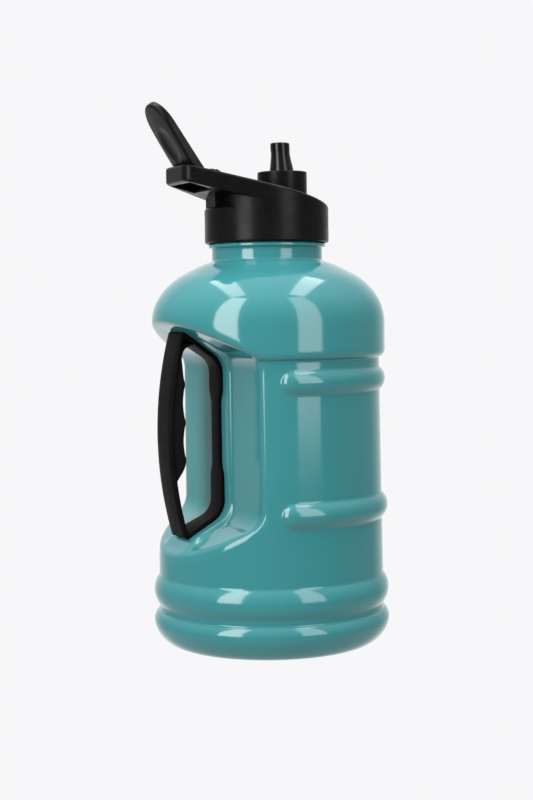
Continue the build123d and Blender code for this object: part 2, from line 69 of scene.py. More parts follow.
NECK_R, NECK_BORE_R = 30.2, 27.2
COLLAR_R, COLLAR_Z, COLLAR_TOP_Z = 32.0, 216.9, 218.9
FINISH_R = 29.3
RIM_Z = 235.0
NECK_FOOT = ((0.9, 0.8), (0, 1.9))     # its flared foot, out from NECK_R and up from the shoulder
COLLAR_ROUND = 0.4                     # edges of the support collar
COLLAR_RISE = 0.3                      # how far its top rises towards the neck
RIM_ROUND, BORE_ROUND = 0.8, 0.4       # outer and inner edge of the rim
THREAD_PITCH, THREAD_TURNS, THREAD_Z, THREAD_HEIGHT = 5.0, 1.5, 224.5, 1.2

# grip recess: its back wall's distance from the axis and ends, slope of its floor and ceiling
RECESS_BACK = 29.0
RECESS_LOW, RECESS_HIGH = 72.2, 157.1
RECESS_SLOPE = 0.59
RECESS_CORNER = 12.0
RECESS_SECTOR = math.radians(80)       # the recess lies within this angle of -X
RECESS_EDGE = 3.0            # width over which the recess rounds into the bottle
LAND_H = 1.5
LAND_LIFT = 0.86             # how far the land's floor and ceiling stand off the recess's
LAND_FLOOR_SLOPE, LAND_CEILING_SLOPE = 0.52, 0.69
LAND_INNER, LAND_OUTER = 12.7, 16.2    # its half width, where its sides begin and end
LAND_FADE, LAND_END = 43.0, 60.0       # it runs out between these distances from the axis
LAND_SPREAD = 0.17                     # how its sides slacken towards the outside
LIP_DROP, LIP_REACH = 0.4, 10.0        # the bottle falls away a little towards the recess

FINE_COLUMN, COARSE_COLUMN = math.radians(0.6), math.radians(2.0)
FINE_SECTOR = math.radians(84)         # columns are fine within this angle of -X
THREAD_FACE, THREAD_FOOT = 0.4, 1.1    # the ridge is full height up to one and gone by the other
THREAD_EASE = 0.06                     # part of a turn over which its ends rise
THREAD_LOWEST, THREAD_SKIN = COLLAR_TOP_Z + 1, FINISH_R - 0.3     # it grows on rings past both


def hermite(start, end, start_slope, end_slope, count):
    """Points of a cubic from start to end, without the first one."""
    points = []
    for step in range(1, count + 1):
        t = step / count
        a = 2 * t**3 - 3 * t**2 + 1
        b = t**3 - 2 * t**2 + t
        c = 3 * t**2 - 2 * t**3
        d = t**3 - t**2
        points.append(tuple(
            a * start[i] + b * start_slope[i] + c * end[i] + d * end_slope[i] for i in range(2)
        ))
    return points


def arc(start, middle, end, count):
    """Points of the circular arc through three points, without the first one."""
    ax, ay = start
    bx, by = middle
    cx, cy = end
    turn = 2 * (ax * (by - cy) + bx * (cy - ay) + cx * (ay - by))
    a2, b2, c2 = ax * ax + ay * ay, bx * bx + by * by, cx * cx + cy * cy
    x = (a2 * (by - cy) + b2 * (cy - ay) + c2 * (ay - by)) / turn
    y = (a2 * (cx - bx) + b2 * (ax - cx) + c2 * (bx - ax)) / turn
    radius = math.hypot(ax - x, ay - y)
    first = math.atan2(ay - y, ax - x)
    sweep = math.remainder(math.atan2(cy - y, cx - x) - first, 2 * math.pi)
    turns = [first + sweep * k / count for k in range(1, count + 1)]
    return [(x + radius * math.cos(turn), y + radius * math.sin(turn)) for turn in turns]


def line(start, end, count):
    """Evenly spaced points from start to end, without the first one."""
    return [
        (start[0] + (end[0] - start[0]) * k / count, start[1] + (end[1] - start[1]) * k / count)
        for k in range(1, count + 1)
    ]


def softened(points, rounds, first, last):
    """The same points with the ones from first to last relaxed towards their neighbours."""
    for _ in range(rounds):
        points = [
            point if not first < i < last else tuple(
                0.25 * points[i - 1][k] + 0.5 * point[k] + 0.25 * points[i + 1][k] for k in range(2)
            )
            for i, point in enumerate(points)
        ]
    return points


def smooth_min(a, b, width):
    """The smaller of a and b, rounded off where they come within width of each other."""
    near = max(width - abs(a - b), 0) / width
    return min(a, b) - near * near * width / 4


def smooth_step(low, high, value):
    """0 below low, 1 above high, and an eased rise between them."""
    t = min(max((value - low) / (high - low), 0), 1)
    return t * t * (3 - 2 * t)


def outline():
    """Outside of the bottle as (radius, height), from the middle of the base up to the neck."""
    base, second = (BASE_R, BASE_Z), (SECOND_R, SECOND_Z)
    groove, panel = (GROOVE_R, GROOVE_Z), (PANEL_LOW_R, PANEL_LOW_Z)
    panel_top, bulge = (PANEL_TOP_R, PANEL_TOP_Z), (BULGE_R, BULGE_Z)
    shoulder = (BULGE_R, SHOULDER_Z)
    points = [(AXIS_R, DIMPLE_H)] + line((0, DIMPLE_H), (DIMPLE_FLAT_R, DIMPLE_H), 3)
    points += hermite(points[-1], (DIMPLE_R, 0), DIMPLE_PULL, DIMPLE_PULL, 16)
    points += line(points[-1], (FOOT_R, 0), 4)
    points += hermite(points[-1], base, (20, 0), (0, 19), 20)
    base_top = (GROOVE_R, BASE_TOP_Z)
    beads_start = len(points)
    points += hermite(base, base_top, (0, 6), (-4.2, 1.0), 14)
    points += line(base_top, groove, 7)
    points += arc(groove, second, panel, 28)
    points += line(panel, panel_top, 170)
    points += hermite(panel_top, bulge, (4.2, 1.0), (0, 6), 14)
    points = softened(points, 1, beads_start, len(points) - 1)
    points += line(bulge, shoulder, 14)
    points += hermite(shoulder, SHOULDER[0], (0, 15), (-8.2, 13.5), 15)
    points += hermite(points[-1], SHOULDER[1], (-10.5, 17.2), (-17, 9.0), 16)
    points += hermite(points[-1], SHOULDER[2], (-15, 7.9), (-11, 3.6), 10)
    foot, neck = ((NECK_R + out, SHOULDER[2][1] + up) for out, up in NECK_FOOT)
    points += line(points[-1], foot, 3)
    points += hermite(points[-1], neck, (-1.4, 0.5), (0, 1.6), 5)
    points += line(points[-1], (NECK_R, COLLAR_Z - COLLAR_ROUND), 4)
    points += hermite(points[-1], (COLLAR_R - COLLAR_ROUND, COLLAR_Z + 0.1), (0, 1), (2, 0), 4)
    points += hermite(points[-1], (COLLAR_R, COLLAR_Z + 0.6), (0.5, 0), (0, 0.5), 3)
    points += line(points[-1], (COLLAR_R, COLLAR_TOP_Z - COLLAR_ROUND), 2)
    collar_top = (COLLAR_R - COLLAR_ROUND, COLLAR_TOP_Z)
    points += hermite(points[-1], collar_top, (0, 0.5), (-0.5, 0), 3)
    points += line(points[-1], (FINISH_R + COLLAR_RISE, COLLAR_TOP_Z + COLLAR_RISE), 2)
    points += line(points[-1], (FINISH_R, RIM_Z - RIM_ROUND), 44)
    points += hermite(points[-1], (FINISH_R - RIM_ROUND, RIM_Z), (0, 1), (-1, 0), 4)
    points += line(points[-1], (NECK_BORE_R + BORE_ROUND, RIM_Z), 2)
    bore = (NECK_BORE_R, RIM_Z - BORE_ROUND)
    points += hermite(points[-1], bore, (-BORE_ROUND, 0), (0, -BORE_ROUND), 2)
    points += line(points[-1], (NECK_BORE_R, SHOULDER[2][1]), 8)
    return points


def inner_outline():
    """Inside of the bottle, from the neck's bore down to the middle of the base."""
    points = hermite((NECK_BORE_R, SHOULDER[2][1]), (44, 202.2), (3, -3.5), (13, -6.5), 6)
    points += hermite(points[-1], (SHOULDER[0][0] - WALL, 188.2), (11, -7), (8.8, -14), 6)
    points += hermite(points[-1], (BULGE_R - WALL, SHOULDER_Z), (7.5, -12), (0, -14), 6)
    points += line(points[-1], (BULGE_R - WALL, BULGE_Z + WALL), 8)
    points += hermite(points[-1], (PANEL_TOP_R - WALL, PANEL_TOP_Z + WALL), (0, -6), (-4.2, -1), 6)
    points += line(points[-1], (PANEL_LOW_R - WALL, PANEL_LOW_Z), 58)
    points += arc(points[-1], (SECOND_R - WALL, SECOND_Z), (GROOVE_R - WALL, GROOVE_Z), 8)
    points += line(points[-1], (GROOVE_R - WALL, BASE_TOP_Z - WALL), 2)
    points += hermite(points[-1], (BASE_R - WALL, BASE_Z - 1), (4, -1), (0, -5), 6)
    points += hermite(points[-1], (FOOT_R, WALL), (0, -15), (-17, 0), 8)
    points += line(points[-1], (DIMPLE_R, WALL), 2)
    pull = (-DIMPLE_PULL[0], 0)
    points += hermite(points[-1], (DIMPLE_FLAT_R, DIMPLE_H + WALL), pull, pull, 8)
    points += line(points[-1], (AXIS_R, DIMPLE_H + WALL), 2)
    return points


def fillet_rise(distance, slope, radius):
    """Depth past a corner between an upright wall and a wall that runs out by slope."""
    bend = math.atan(slope)
    tangent = radius * math.tan(bend / 2)
    if distance <= -tangent:
        return 0.0
    if distance < tangent * math.cos(bend):
        return radius - math.sqrt(radius**2 - (distance + tangent) ** 2)
    return slope * distance


def recess_depth(z, back, low, high, floor_slope, ceiling_slope):
    """Distance of the recess's wall from the bottle's axis, at height z."""
    above = fillet_rise(z - high, 1 / ceiling_slope, RECESS_CORNER)
    below = fillet_rise(low - z, 1 / floor_slope, RECESS_CORNER)
    return back + above + below


def bottle_radius(radius, z, angle, skin):
    """The bottle's radius in one direction, with its beads and its grip recess."""
    for height, outside, section in BEADS:
        centre = outside - section
        past = max(abs(angle) - BEAD_END, 0) * centre
        reach = (section - skin) ** 2 - (z - height) ** 2 - past**2
        if reach > BEAD_FAR:
            bead = centre + math.copysign(math.sqrt(abs(reach)), reach)
            radius = -smooth_min(-radius, -bead, BEAD_BLEND)
    turn = math.pi - abs(angle)
    if turn > RECESS_SECTOR or not PANEL_LOW_Z < z < SHOULDER[0][1]:
        return radius
    wall = recess_depth(z, RECESS_BACK, RECESS_LOW, RECESS_HIGH, RECESS_SLOPE, RECESS_SLOPE)
    land = recess_depth(
        z, RECESS_BACK + LAND_H, RECESS_LOW + LAND_LIFT, RECESS_HIGH - LAND_LIFT,
        LAND_FLOOR_SLOPE, LAND_CEILING_SLOPE,
    )
    side = LAND_OUTER + LAND_SPREAD * (wall - RECESS_BACK)
    on_land = 1 - smooth_step(LAND_INNER, side, wall * math.tan(turn))
    on_land *= 1 - smooth_step(LAND_FADE, LAND_END, wall)
    depth = (wall + (land - wall) * on_land - skin) / math.cos(turn)
    radius -= LIP_DROP * (1 - smooth_step(0, LIP_REACH, depth - radius))
    return smooth_min(radius, depth, RECESS_EDGE)


def thread_ridge(z, angle):
    """How far the neck's thread stands out at a height and a direction."""
    height = 0.0
    for turn in range(2):
        along = (angle % (2 * math.pi)) / (2 * math.pi) + turn
        if along <= THREAD_TURNS:
            off = abs(z - THREAD_Z - THREAD_PITCH * along)
            ease = smooth_step(0, THREAD_EASE, along)
            ease *= smooth_step(0, THREAD_EASE, THREAD_TURNS - along)
            section = 1 - smooth_step(THREAD_FACE, THREAD_FOOT, off)
            height = max(height, THREAD_HEIGHT * ease * section)
    return height


def bottle_angles():
    """Directions of the bottle's columns, closer together in the recess."""
    edge = FINE_SECTOR
    rest = 2 * math.pi - 2 * edge
    fine = round(2 * edge / FINE_COLUMN)
    coarse = round(rest / COARSE_COLUMN)
    angles = [math.pi - edge + 2 * edge * k / fine for k in range(fine)]
    angles += [math.pi + edge + rest * k / coarse for k in range(coarse)]
    return [math.remainder(angle, 2 * math.pi) for angle in angles]


# ---------------------------------------------------------------- mesh helpers
def new_piece(name, points, faces, material, body):
    """A smooth-shaded mesh object from points in millimetres, riding on a body."""
    mesh = bpy.data.meshes.new(name)
    mesh.from_pydata([Vector(point) * MM for point in points], [], faces)
    mesh.validate()
    work = bmesh.new()
    work.from_mesh(mesh)
    bmesh.ops.remove_doubles(work, verts=work.verts, dist=1e-6)
    bmesh.ops.recalc_face_normals(work, faces=work.faces)
    work.to_mesh(mesh)
    work.free()
    for face in mesh.polygons:
        face.use_smooth = True
    mesh.materials.append(material)
    piece = bpy.data.objects.new(name, mesh)
    bpy.context.scene.collection.objects.link(piece)
    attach(piece, body)
    return piece


def ring_faces(rows, columns, closed_rows=False):
    """Quads between successive rings; the first and last rings are joined, or else closed flat."""
    faces = []
    for row in range(rows if closed_rows else rows - 1):
        below = row * columns
        above = ((row + 1) % rows) * columns
        for k in range(columns):
            after = (k + 1) % columns
            faces.append((below + k, below + after, above + after, above + k))
    if not closed_rows:
        faces.append(tuple(range(columns)))
        faces.append(tuple((rows - 1) * columns + k for k in range(columns)))
    return faces


def sharpen(piece, degrees):
    """Edges that turn by more than this stay crisp under smooth shading."""
    work = bmesh.new()
    work.from_mesh(piece.data)
    for edge in work.edges:
        if len(edge.link_faces) == 2 and edge.calc_face_angle() > math.radians(degrees):
            edge.smooth = False
    work.to_mesh(piece.data)
    work.free()
    return piece


def make_bottle(material):
    """The bottle, outside and inside, as rings from the base up, over the rim and down inside."""
    angles = bottle_angles()
    outer, inner = outline(), inner_outline()
    points = []
    for skin, rings in ((0, outer), (WALL, inner)):
        for radius, z in rings:
            for angle in angles:
                reach = bottle_radius(radius, z, angle, skin)
                if skin == 0 and z > THREAD_LOWEST and radius > THREAD_SKIN:
                    reach += thread_ridge(z, angle)
                points.append((reach * math.cos(angle), reach * math.sin(angle), z))
    faces = ring_faces(len(outer) + len(inner), len(angles))
    piece = new_piece("bottle", points, faces, material, "jug")
    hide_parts("jug_body")


# ---------------------------------------------------------------- grip
GRIP_GAP = 0.1               # between the band and the land
GRIP_END_X, GRIP_MID_X = -54.6, -62.5
BAR_HALF, STRAP_HALF, WAIST_HALF = 9.9, 7.4, 4.7
WAIST_LOW, WAIST_HIGH = 97.0, 137.0    # stretch of the strap that is narrower
WAIST_EASE = 4.0
BAND = 2.3                   # thickness of the band
BAND_OUTER_EDGE = (0.5, 0.2)           # rounding of its outer edges, and how much more on the bar
BAND_INNER_EDGE = (1.0, -0.2)
BAR_CROWN = 0.35                       # how far the bar's outer face rises in its middle
BAR_EASE = 3                           # distance over which the bar's own section comes in
BAR_CORNER, STRAP_CORNER = 1.4, 13.6
BOW_STEPS, STRAP_STEPS, LEG_STEPS, CORNER_STEPS = 24, 36, 8, 8
SETTLE_STEPS = 20                      # rounds of closing in on where a leg meets the bar
PAD_HALF = 9.1
PAD_CREST_X, PAD_FLANK_X, PAD_VALLEY_X = -52.9, -53.7, -54.3
PAD_CRESTS = (103.2, 123.6, 144.0)
PAD_FLANK = 3.8                        # from a crest to the points either side of it
PAD_FOOT = ((-60.3, 90.4), (-57.4, 93.8), (-54.4, 98.4))
PAD_HEAD = (
    (-54.6, 157.6), (-54.0, 160.6), (-52.6, 162.9), (-50.4, 164.2), (-48.2, 165.0), (-46.4, 165.5),
)
PAD_SINK = 0.6                         # how deep it sits in the bar, as a share of the band
PAD_EDGE, PAD_EDGE_SHARE = 1.1, 0.45   # its rounding, which is less where it is thin
PAD_LEAST = 0.05
WAVE_STEPS = 6                         # from one point of its wave to the next


def circle_through(start, middle, end):
    """Centre and radius of the circle through three points."""
    points = arc(start, middle, end, 2)
    chord = Vector(end) - Vector(start)
    rise = Vector(points[0]) - (Vector(start) + Vector(end)) / 2
    radius = (chord.length / 2) ** 2 / (2 * rise.length) + rise.length / 2
    centre = Vector(points[0]) - rise.normalized() * radius
    return centre, radius


def grip_corners(inward):
    """Corners of the grip's D in the XZ plane, moved inwards, the bar's bow among them."""
    back = -(RECESS_BACK + LAND_H + GRIP_GAP)
    lift = (LAND_H + GRIP_GAP) * (math.hypot(1, RECESS_SLOPE) - RECESS_SLOPE)
    low, high = RECESS_LOW + lift, RECESS_HIGH - lift
    reach = back - GRIP_END_X
    bar_low = (GRIP_END_X, low - LAND_FLOOR_SLOPE * reach)
    bar_high = (GRIP_END_X, high + LAND_CEILING_SLOPE * reach)
    middle = (GRIP_MID_X, (bar_low[1] + bar_high[1]) / 2)
    centre, radius = circle_through(bar_high, middle, bar_low)
    radius -= inward
    strap = back - inward

    def leg_height(x, start, slope, side):
        return start + side * (slope * (back - x) - inward * math.hypot(1, slope))

    ends = []
    for start, slope, side in ((high, LAND_CEILING_SLOPE, 1), (low, LAND_FLOOR_SLOPE, -1)):
        x = GRIP_END_X
        for _ in range(SETTLE_STEPS):
            z = leg_height(x, start, slope, side)
            x = centre.x - math.sqrt(radius**2 - (z - centre.y) ** 2)
        ends.append((x, z))
    bow = arc(ends[0], (centre.x - radius, centre.y), ends[1], BOW_STEPS)[:-1]
    strap_low = (strap, leg_height(strap, low, LAND_FLOOR_SLOPE, -1))
    strap_high = (strap, leg_height(strap, high, LAND_CEILING_SLOPE, 1))
    return [strap_low, strap_high, ends[0]] + bow + [ends[1]]


def rounded_loop(corners, radii, splits):
    """A closed path with rounded corners; splits gives the steps along each straight run."""
    turns = []
    for i, (corner, radius) in enumerate(zip(corners, radii)):
        here = Vector(corner)
        if not radius:
            turns.append([here])
            continue
        back = (Vector(corners[i - 1]) - here).normalized()
        ahead = (Vector(corners[(i + 1) % len(corners)]) - here).normalized()
        half = back.angle(ahead) / 2
        centre = here + (back + ahead).normalized() * radius / math.sin(half)
        first = here + back * radius / math.tan(half) - centre
        sweep = math.pi - 2 * half
        side = math.copysign(1, first.cross(here - centre))
        turns.append([
            centre + Matrix.Rotation(side * sweep * k / CORNER_STEPS, 2) @ first
            for k in range(CORNER_STEPS + 1)
        ])
    path = []
    for i, turn in enumerate(turns):
        path += turn
        end = turns[(i + 1) % len(turns)][0]
        path += [turn[-1].lerp(end, k / splits[i]) for k in range(1, splits[i])]
    return path


def grip_half(x, z):
    """Half width of the grip's band."""
    along = smooth_step(GRIP_END_X, -(RECESS_BACK + LAND_H + BAND), x)
    half = BAR_HALF + (STRAP_HALF - BAR_HALF) * along
    if along > 0.99:
        waist = smooth_step(WAIST_LOW - WAIST_EASE, WAIST_LOW + WAIST_EASE, z)
        waist *= 1 - smooth_step(WAIST_HIGH - WAIST_EASE, WAIST_HIGH + WAIST_EASE, z)
        half += (WAIST_HALF - STRAP_HALF) * waist
    return half


def make_grip(material):
    """The grip's band: an outer bar, two legs and the strap against the recess."""
    loops = []
    for inward, ease in ((0, 0), (BAND, -BAND)):
        corners = grip_corners(inward)
        radii = [STRAP_CORNER + ease] * 2 + [BAR_CORNER] + [0] * (len(corners) - 4) + [BAR_CORNER]
        splits = [STRAP_STEPS, LEG_STEPS] + [1] * (len(corners) - 3) + [LEG_STEPS]
        loops.append(rounded_loop(corners, radii, splits))
    points, columns = [], 0
    for outer, inner in zip(*loops):
        half = grip_half(outer.x, outer.y)
        on_bar = 1 - smooth_step(GRIP_END_X - BAR_EASE, GRIP_END_X, outer.x)
        edge, front = (plain + more * on_bar for plain, more in (BAND_OUTER_EDGE, BAND_INNER_EDGE))
        section = []
        for step in range(9):
            y = (half - edge) * (step / 4 - 1)
            section.append((y, -BAR_CROWN * on_bar * (1 - (y / half) ** 2)))
        for centre_y, depth, radius, start in (
            (half - edge, edge, edge, -90), (half - front, BAND - front, front, 0),
            (front - half, BAND - front, front, 90), (edge - half, edge, edge, 180),
        ):
            for step in range(5):
                turn = math.radians(start + 22.5 * step)
                section.append((
                    centre_y + radius * math.cos(turn), depth + radius * math.sin(turn)
                ))
        columns = len(section)
        for y, depth in section:
            place = outer.lerp(inner, depth / BAND)
            points.append((place.x, y, place.y))
    faces = ring_faces(len(points) // columns, columns, closed_rows=True)
    piece = new_piece("grip_band", points, faces, material, "jug")
    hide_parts("grip_frame")


def through(points, parts):
    """A smooth curve through the points, in parts steps between neighbours."""
    path = [points[0]]
    for i in range(len(points) - 1):
        before, after = points[max(i - 1, 0)], points[min(i + 2, len(points) - 1)]
        start_slope = tuple((points[i + 1][k] - before[k]) / 2 for k in range(2))
        end_slope = tuple((after[k] - points[i][k]) / 2 for k in range(2))
        path += hermite(points[i], points[i + 1], start_slope, end_slope, parts)
    return path


def make_pad(material):
    """The soft pad inside the bar, waved for the fingers."""
    wave = list(PAD_FOOT)
    valley = (PAD_CRESTS[1] - PAD_CRESTS[0]) / 2
    for crest in PAD_CRESTS:
        if crest > PAD_CRESTS[0]:
            wave.append((PAD_FLANK_X, crest - PAD_FLANK))
        wave.append((PAD_CREST_X, crest))
        wave.append((PAD_FLANK_X, crest + PAD_FLANK))
        wave.append((PAD_VALLEY_X, crest + valley))
    wave += PAD_HEAD
    corners = grip_corners(BAND * PAD_SINK)[2:]
    centre, radius = circle_through(corners[0], corners[len(corners) // 2], corners[-1])
    points, columns = [], 0
    for x, z in through(wave, WAVE_STEPS):
        back = centre.x - math.sqrt(radius**2 - (z - centre.y) ** 2)
        depth = max(x - back, PAD_LEAST)
        edge = min(PAD_EDGE, depth * PAD_EDGE_SHARE)
        section = []
        for centre_y, offset, start in (
            (PAD_HALF - edge, depth - edge, 0), (edge - PAD_HALF, depth - edge, 90),
            (edge - PAD_HALF, edge, 180), (PAD_HALF - edge, edge, 270),
        ):
            for step in range(6):
                turn = math.radians(start + 18 * step)
                section.append((centre_y + edge * math.cos(turn), offset + edge * math.sin(turn)))
        columns = len(section)
        points += [(back + offset, y, z) for y, offset in section]
    faces = ring_faces(len(points) // columns, columns)
    piece = new_piece("grip_finger_pad", points, faces, material, "jug")
    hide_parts("grip_pad")


# ---------------------------------------------------------------- cover
HINGE_X, HINGE_Z = -33.2, 254.0
OPEN_ANGLE = math.radians(124.5)
KNUCKLE_R = 4.6
KNUCKLE_DROP = 0.52          # its underside is flatter by this factor
COVER_L, COVER_T, COVER_HALF = 51.2, 5.6, 13.0
COVER_ROOT = 7.0             # length over which the knuckle grows into the plate
COVER_ROUND = 1.2
COVER_CROWN = 2.2            # how much thinner the plate is at its tip
SIDE_CROWN = 0.6             # and at its sides
COVER_LEAST = 0.4
TRIM_START = 6               # its roundings come in over this length from the hinge
COVER_RIM, COVER_HOLLOW = 1.8, 3.0
HOLLOW_START = 13.0
THIN = 0.02                  # a hollow no wider than this is left out, and its end slopes by this
PLATE_STEPS, ACROSS_STEPS = 24, 32
ROOT_STATIONS = (0.0, 1.2, 2.4, 3.4, 4.2, KNUCKLE_R, 5.0, 5.6, 6.4, 7.2, 8.0, 8.6, 10.5)
DISH_U, DISH_LONG, DISH_WIDE, DISH_DEEP = 27.0, 11.5, 8.2, 1.5


def cover_place(u, y, v):
    """From the closed cover's length, width and height to its place when open."""
    c, s = math.cos(OPEN_ANGLE), math.sin(OPEN_ANGLE)
    return (HINGE_X + u * c - v * s, y, HINGE_Z + u * s + v * c)


def cover_top(u):
    """Height of the plate's outer face along its length."""
    if u < 0:
        return math.sqrt(max(KNUCKLE_R**2 - u * u, 0))
    high = KNUCKLE_R + COVER_T
    rise = KNUCKLE_R + (high - KNUCKLE_R) * smooth_step(-1, COVER_ROOT - 1, u)
    return rise - COVER_CROWN * max((u - COVER_ROOT) / (COVER_L - COVER_ROOT), 0) ** 2


def cover_bottom(u):
    """Height of its underside."""
    if u < KNUCKLE_R:
        return -KNUCKLE_DROP * math.sqrt(max(KNUCKLE_R**2 - u * u, 0))
    return KNUCKLE_R * smooth_step(KNUCKLE_R, COVER_ROOT + 1.5, u)


def make_cover(material):
    """The flip cover: a crowned plate with a thumb dish outside and a hollow inside."""
    centre = COVER_L - COVER_HALF
    stations = [-KNUCKLE_R * math.cos(math.radians(15 * k)) for k in range(6)]
    stations += ROOT_STATIONS
    stations += [HOLLOW_START - THIN, HOLLOW_START]
    stations += [point[0] for point in line((HOLLOW_START, 0), (centre, 0), PLATE_STEPS)]
    stations += [centre + COVER_HALF * math.sin(math.radians(5 * k)) for k in range(1, 18)]
    stations.append(COVER_L - 0.01)
    points, columns = [], 0
    inner = COVER_HALF - COVER_RIM
    for u in stations:
        past = max(u - centre, 0)
        half = math.sqrt(COVER_HALF**2 - past**2)
        hollow = math.sqrt(max(inner**2 - past**2, 0.0001))
        deep = COVER_HOLLOW if u >= HOLLOW_START and hollow > THIN else 0.0
        top, bottom = cover_top(u), cover_bottom(u)
        section = []
        for step in range(ACROSS_STEPS + 1):
            y = half * math.sin(math.radians(-90 + 180 * step / ACROSS_STEPS))
            inset = COVER_HALF - math.hypot(past, y)
            near = max(COVER_ROUND - inset, 0)
            drop = COVER_ROUND - math.sqrt(max(COVER_ROUND**2 - near**2, 0))
            dish = 1 - ((u - DISH_U) / DISH_LONG) ** 2 - (y / DISH_WIDE) ** 2
            drop += DISH_DEEP * smooth_step(0, 1, dish)
            drop += SIDE_CROWN * (y / COVER_HALF) ** 2
            drop *= min(1, max(u, 0) / TRIM_START)
            section.append((y, max(top - drop, bottom + COVER_LEAST)))
        section.append((half, bottom))
        section += [(hollow, bottom), (hollow, bottom + deep)]
        section += [(-hollow, bottom + deep), (-hollow, bottom), (-half, bottom)]
        columns = len(section)
        points += [cover_place(u, y, v) for y, v in section]
    faces = ring_faces(len(stations), columns)
    piece = sharpen(new_piece("flip_lid", points, faces, material, "cover"), 35)
    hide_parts("flip_cover")


# ---------------------------------------------------------------- spout
SPOUT_COLUMNS = 72
SPOUT_X = 9.8
TOWER_Z = 258.4
SPOUT_FLANGE_Z = 254.3
SPOUT_BASE_R, SPOUT_R, SPOUT_BORE_R = 6.7, 5.2, 3.2
SPOUT_WAIST_Z, SPOUT_LIP_Z, SPOUT_Z = 269.0, 270.4, 274.3
SPOUT_LIP = 0.12             # how far its lip stands out
SPOUT_ROUND = 0.7
SPOUT_LEAN = -1.1            # the soft spout leans back a little


def make_spout(material):
    """The soft drinking spout, flared at its foot and open at its top."""
    profile = [(SPOUT_BORE_R, SPOUT_FLANGE_Z), (SPOUT_BASE_R, SPOUT_FLANGE_Z)]
    profile += line(profile[-1], (SPOUT_BASE_R, TOWER_Z + 0.2), 3)
    profile += hermite(profile[-1], (SPOUT_R, SPOUT_WAIST_Z), (-0.4, 5.5), (0, 7.5), 14)
    lip = (SPOUT_R + SPOUT_LIP, SPOUT_LIP_Z)
    profile += hermite(profile[-1], lip, (0, 0.8), (SPOUT_LIP, 0.4), 3)
    profile += line(profile[-1], (SPOUT_R + 0.1, SPOUT_Z - SPOUT_ROUND), 4)
    profile += hermite(profile[-1], (SPOUT_R - 0.6, SPOUT_Z), (0, 1.1), (-1.1, 0), 6)
    profile += line(profile[-1], (SPOUT_BORE_R + 0.6, SPOUT_Z), 2)
    bore = (SPOUT_BORE_R, SPOUT_Z - SPOUT_ROUND)
    profile += hermite(profile[-1], bore, (-1, 0), (0, -1), 5)
    profile += line(profile[-1], (SPOUT_BORE_R, SPOUT_FLANGE_Z), 12)[:-1]
    points = []
    for radius, z in profile:
        lean = SPOUT_LEAN * smooth_step(SPOUT_FLANGE_Z, SPOUT_Z, z)
        for k in range(SPOUT_COLUMNS):
            turn = 2 * math.pi * k / SPOUT_COLUMNS
            points.append((SPOUT_X + lean + radius * math.cos(turn), radius * math.sin(turn), z))
    faces = ring_faces(len(profile), SPOUT_COLUMNS, closed_rows=True)
    piece = new_piece("soft_spout", points, faces, material, "cap")
    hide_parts("drinking_spout")
    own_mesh(piece)


# ---------------------------------------------------------------- vent valve
VENT_COLUMNS = 40
VENT_X = -11.2
TOP_Z, TOP_SLOPE = 246.8, 0.259        # the cap's tilted top: height on the axis, fall towards +X
VENT_HEAD = ((0.02, 0.5), (2.2, 0.5), (2.9, 0.46), (3.3, 0.3), (3.4, 0.0))    # radius, height
VENT_STEM = ((2.0, -0.2), (2.0, -3.4), (3.1, -3.6), (2.0, -5.6), (0.02, -5.8))


def make_vent(material):
    """The cap's soft vent valve: a thin head on the tilted top, a stem through it and a foot."""
    profile = VENT_HEAD + VENT_STEM
    tilt = Matrix.Rotation(math.atan(TOP_SLOPE), 3, "Y")
    points = []
    for radius, height in profile:
        for k in range(VENT_COLUMNS):
            turn = 2 * math.pi * k / VENT_COLUMNS
            point = Vector((radius * math.cos(turn), radius * math.sin(turn), height))
            if height >= 0:
                point = tilt @ point
            points.append(point + Vector((VENT_X, 0, TOP_Z - TOP_SLOPE * VENT_X)))
    faces = ring_faces(len(profile), VENT_COLUMNS)
    piece = sharpen(new_piece("vent_plug", points, faces, material, "cap"), 50)
    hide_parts("vent_valve")


# ---------------------------------------------------------------- camera
CAMERA_AZIMUTH = -25.0       # degrees round from the view along +Y
CAMERA_DISTANCE = 0.8733     # level distance from the bottle's axis, in metres
EYE_HEIGHT = 0.1832
PITCH = 3.26                 # degrees that it looks down
YAW = 0.09
ROLL = -0.80
LENS = 71.38
SENSOR = 36.0


def toward_camera():
    """Level direction from the bottle to the camera."""
    azimuth = math.radians(CAMERA_AZIMUTH)
    return Vector((math.sin(azimuth), -math.cos(azimuth), 0))


def make_camera():
    """The camera, facing the bottle's axis and then turned by its pitch, yaw and roll."""
    data = bpy.data.cameras.new("camera")
    data.lens = LENS
    data.sensor_width = SENSOR
    camera = bpy.data.objects.new("camera", data)
    bpy.context.scene.collection.objects.link(camera)
    turn = (
        Matrix.Rotation(math.radians(CAMERA_AZIMUTH) + math.radians(YAW), 4, "Z")
        @ Matrix.Rotation(math.radians(90 - PITCH), 4, "X")
        @ Matrix.Rotation(math.radians(ROLL), 4, "Z")
    )
    place = toward_camera() * CAMERA_DISTANCE + Vector((0, 0, EYE_HEIGHT))
    camera.matrix_world = Matrix.Translation(place) @ turn
    bpy.context.scene.camera = camera


